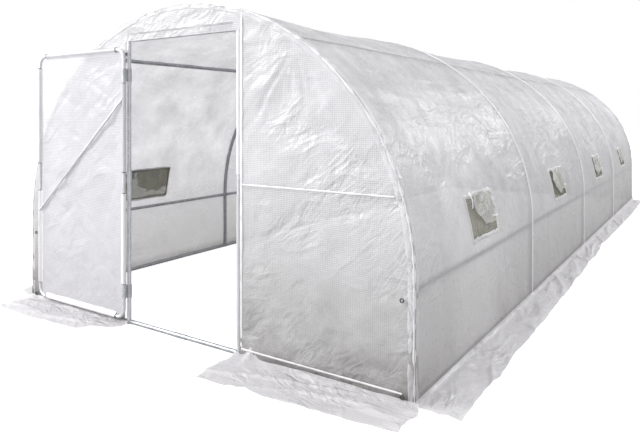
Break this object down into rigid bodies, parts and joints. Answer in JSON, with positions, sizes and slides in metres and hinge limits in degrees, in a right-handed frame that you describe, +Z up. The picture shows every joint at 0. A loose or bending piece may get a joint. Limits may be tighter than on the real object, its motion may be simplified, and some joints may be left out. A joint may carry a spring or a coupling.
{
  "type": "polytunnel greenhouse",
  "caption": "Walk-in polytunnel greenhouse: hooped steel tube frame, reinforced film cover with netted side windows, ground flaps and a hinged film door in the front end wall.",
  "frame": {"origin": "on the ground, at the middle of the tunnel's length and width", "axes": "+Z up, +Y along the tunnel from the door end to the back, +X to the right as seen from the door end"},
  "size_m": [3.4006, 8.5752, 1.9547],
  "materials": {
    "frame_tube": "galvanised steel tube, satin",
    "door_tube": "galvanised steel tube, satin",
    "hinge_steel": "galvanised pressed steel, satin",
    "cover_film": "translucent white film with a woven reinforcing grid",
    "door_film": "translucent white film with a woven reinforcing grid",
    "window_net": "fine dark olive fly net, partly covered by a crumpled film flap"
  },
  "bodies": {
    "root": {"hoop_front": "frame_tube", "hoop_2": "frame_tube", "hoop_3": "frame_tube", "hoop_4": "frame_tube", "hoop_back": "frame_tube", "ridge_purlin": "frame_tube", "shoulder_purlin_left": "frame_tube", "shoulder_purlin_right": "frame_tube", "side_purlin_left": "frame_tube", "side_purlin_right": "frame_tube", "base_rail_left": "frame_tube", "base_rail_right": "frame_tube", "front_base_rails": "frame_tube", "door_sill": "frame_tube", "front_jamb_left": "frame_tube", "front_jamb_right": "frame_tube", "front_head_rail": "frame_tube", "front_side_rails": "frame_tube", "back_posts": "frame_tube", "back_rails": "frame_tube", "hinge_upper": "hinge_steel", "hinge_lower": "hinge_steel", "wall_film_left": "cover_film", "wall_film_right": "cover_film", "eaves_film_left": "cover_film", "eaves_film_right": "cover_film", "roof_film": "cover_film", "window_nets_left": "window_net", "window_nets_right": "window_net", "front_film_left": "cover_film", "front_film_right": "cover_film", "front_film_top": "cover_film", "back_film": "cover_film", "skirt_front_left": "cover_film", "skirt_front_right": "cover_film", "skirt_left": "cover_film", "skirt_right": "cover_film", "skirt_back": "cover_film"},
    "door": {"door_frame": "door_tube", "door_brace": "door_tube", "door_film": "door_film"}
  },
  "joints": [
    {"name": "door_hinge", "type": "hinge", "parent": "root", "child": "door", "pos_m": [-0.455, -4.04, 0.9], "axis": [0, 0, 1], "range_deg": [0, 180]}
  ]
}
